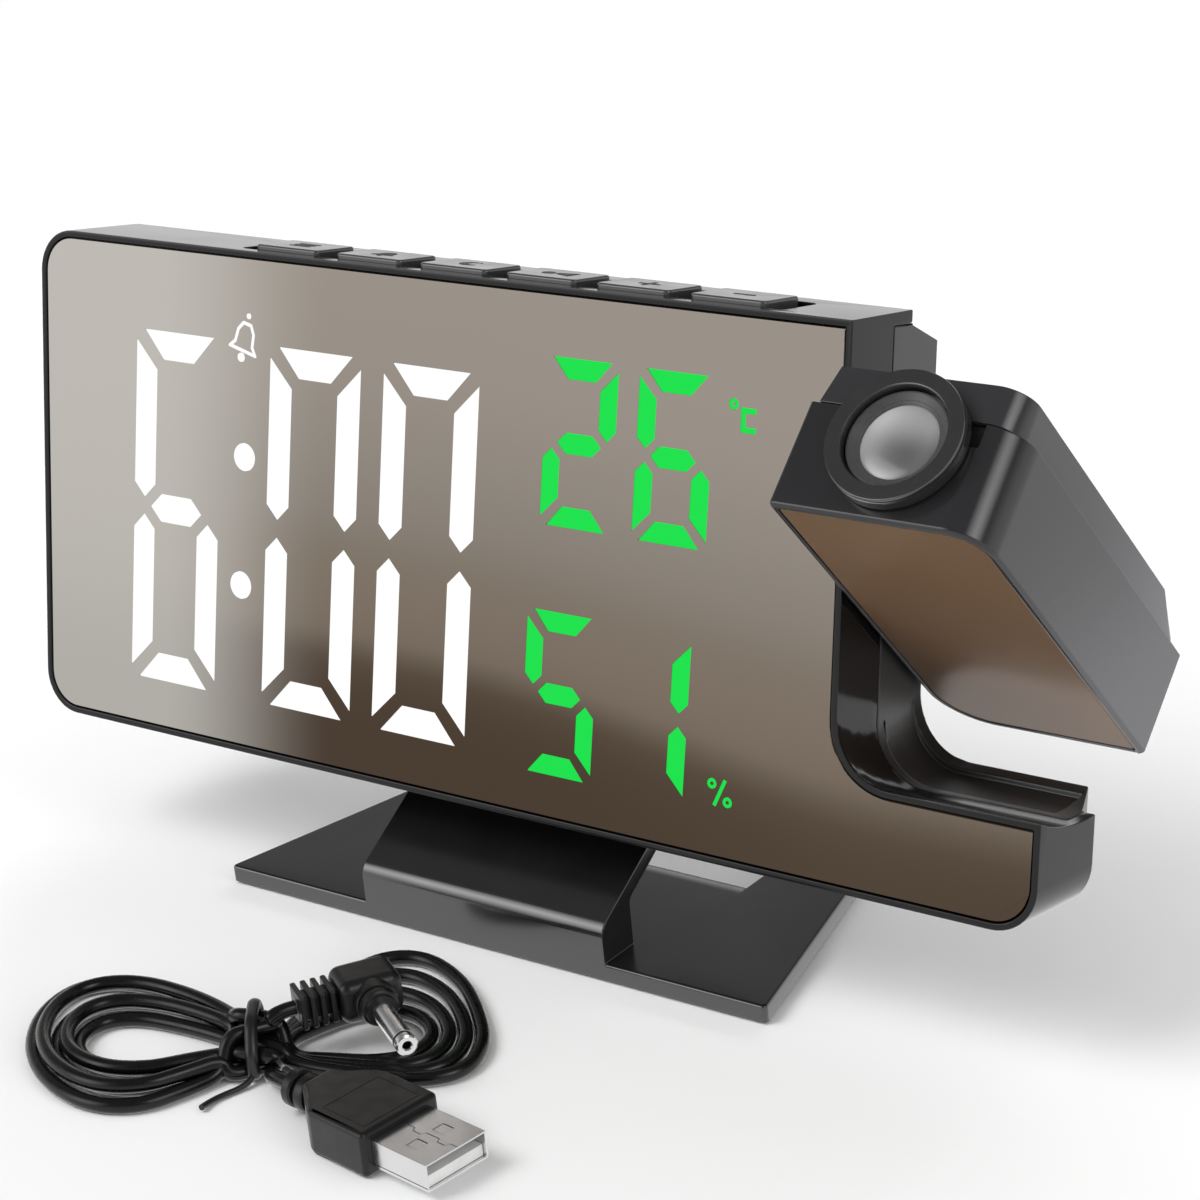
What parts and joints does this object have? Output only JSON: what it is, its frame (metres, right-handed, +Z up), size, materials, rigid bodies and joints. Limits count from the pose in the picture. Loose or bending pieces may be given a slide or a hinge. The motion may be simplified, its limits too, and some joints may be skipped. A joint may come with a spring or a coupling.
{
  "type": "projection alarm clock",
  "caption": "Mirror-fronted desk alarm clock on a plug-in trapezoid stand, with a tilting projector pod in a notch at its right end and a hanked power lead.",
  "frame": {"origin": "on the floor under the middle of the clock's bounding box, lead left out", "axes": "+X to the clock's right as seen from the front, +Y to the back, +Z up"},
  "size_m": [0.205, 0.1332, 0.1106],
  "materials": {
    "gloss_case": "gloss",
    "satin_case": "satin",
    "tinted_mirror": "polished",
    "white_guide": "satin",
    "green_guide": "satin",
    "white_plastic": "matte",
    "circuit_board": "satin",
    "screw_steel": "satin",
    "lamp_resin": "gloss",
    "inner_plastic": "matte",
    "cell_steel": "polished",
    "sensor_plastic": "matte",
    "bush_plastic": "satin",
    "black_rubber": "matte",
    "cord_cover": "satin",
    "ring_plastic": "satin",
    "cone_plastic": "satin",
    "clear_lens": "polished",
    "slide_glass": "polished",
    "stand_plastic": "satin",
    "tie_cover": "satin",
    "plug_cover": "satin",
    "plug_metal": "polished",
    "button_plastic": "satin"
  },
  "bodies": {
    "clock": {"front_frame": "gloss_case", "rear_shell": "satin_case", "mirror_panel": "tinted_mirror", "time_segments": "white_guide", "colon_dots": "white_guide", "alarm_icon": "white_guide", "temperature_segments": "green_guide", "humidity_segments": "green_guide", "segment_reflector": "white_plastic", "display_board": "circuit_board", "board_screws": "screw_steel", "display_leds": "lamp_resin", "button_board": "circuit_board", "tact_switches": "screw_steel", "case_screws": "screw_steel", "cell_holder": "inner_plastic", "coin_cell": "cell_steel", "dc_jack": "inner_plastic", "climate_sensor": "sensor_plastic", "buzzer": "inner_plastic", "pivot_bush": "bush_plastic", "friction_washer": "black_rubber", "lead_connector": "white_plastic", "projector_lead": "cord_cover", "stand": "stand_plastic", "foot_pads": "black_rubber", "cable_hank": "cord_cover", "cable_lead_dc": "cord_cover", "cable_lead_usb": "cord_cover", "cable_tie": "tie_cover", "dc_plug_body": "plug_cover", "dc_plug_barrel": "plug_metal", "usb_plug_body": "plug_cover", "usb_plug_shell": "plug_metal", "usb_plug_tongue": "white_plastic"},
    "pod": {"pod_front_shell": "gloss_case", "pod_rear_cover": "gloss_case", "pod_mirror": "tinted_mirror", "pod_screws": "screw_steel", "pivot_shaft": "bush_plastic", "shaft_clip": "screw_steel", "projector_barrel": "inner_plastic", "lcd_slide": "slide_glass", "condenser_lens": "clear_lens", "projector_led": "lamp_resin", "projector_board": "circuit_board"},
    "focus": {"focus_ring": "ring_plastic"},
    "lens_cell": {"lens_cone": "cone_plastic", "projection_lens": "clear_lens"},
    "menu_key": {"menu_button": "button_plastic"},
    "alarm_key": {"alarm_button": "button_plastic"},
    "snooze_key": {"snooze_button": "button_plastic"},
    "projector_key": {"projector_button": "button_plastic"},
    "plus_key": {"plus_button": "button_plastic"},
    "minus_key": {"minus_button": "button_plastic"},
    "door": {"battery_door": "satin_case"}
  },
  "joints": [
    {"name": "projector_tilt", "type": "hinge", "parent": "clock", "child": "pod", "pos_m": [0.067, -0.00017, 0.07357], "axis": [1, 0, 0], "range_deg": [-142.4, 37.6]},
    {"name": "focus_turn", "type": "hinge", "parent": "pod", "child": "focus", "pos_m": [0.085, -0.02416, 0.09887], "axis": [0, -0.6626, 0.749], "range_deg": [-135, 135]},
    {"name": "lens_travel", "type": "slide", "parent": "pod", "child": "lens_cell", "axis": [0, -0.6626, 0.749], "range_m": [-0.0004, 0.0004]},
    {"name": "menu_press", "type": "slide", "parent": "clock", "child": "menu_key", "axis": [0, -0.1891, -0.982], "range_m": [0, 0.0004], "stiffness_N_per_m": 300, "springref_m": -0.001},
    {"name": "alarm_press", "type": "slide", "parent": "clock", "child": "alarm_key", "axis": [0, -0.1891, -0.982], "range_m": [0, 0.0004], "stiffness_N_per_m": 300, "springref_m": -0.001},
    {"name": "snooze_press", "type": "slide", "parent": "clock", "child": "snooze_key", "axis": [0, -0.1891, -0.982], "range_m": [0, 0.0004], "stiffness_N_per_m": 300, "springref_m": -0.001},
    {"name": "projector_press", "type": "slide", "parent": "clock", "child": "projector_key", "axis": [0, -0.1891, -0.982], "range_m": [0, 0.0004], "stiffness_N_per_m": 300, "springref_m": -0.001},
    {"name": "plus_press", "type": "slide", "parent": "clock", "child": "plus_key", "axis": [0, -0.1891, -0.982], "range_m": [0, 0.0004], "stiffness_N_per_m": 300, "springref_m": -0.001},
    {"name": "minus_press", "type": "slide", "parent": "clock", "child": "minus_key", "axis": [0, -0.1891, -0.982], "range_m": [0, 0.0004], "stiffness_N_per_m": 300, "springref_m": -0.001},
    {"name": "battery_door_turn", "type": "hinge", "parent": "clock", "child": "door", "pos_m": [-0.03, 0.00959, 0.06237], "axis": [0, 0.982, -0.1891], "range_deg": [0, 45]}
  ],
  "couplings": [
    {"joint": "focus_turn", "follows": "lens_travel", "rad_per_m": 5880}
  ]
}
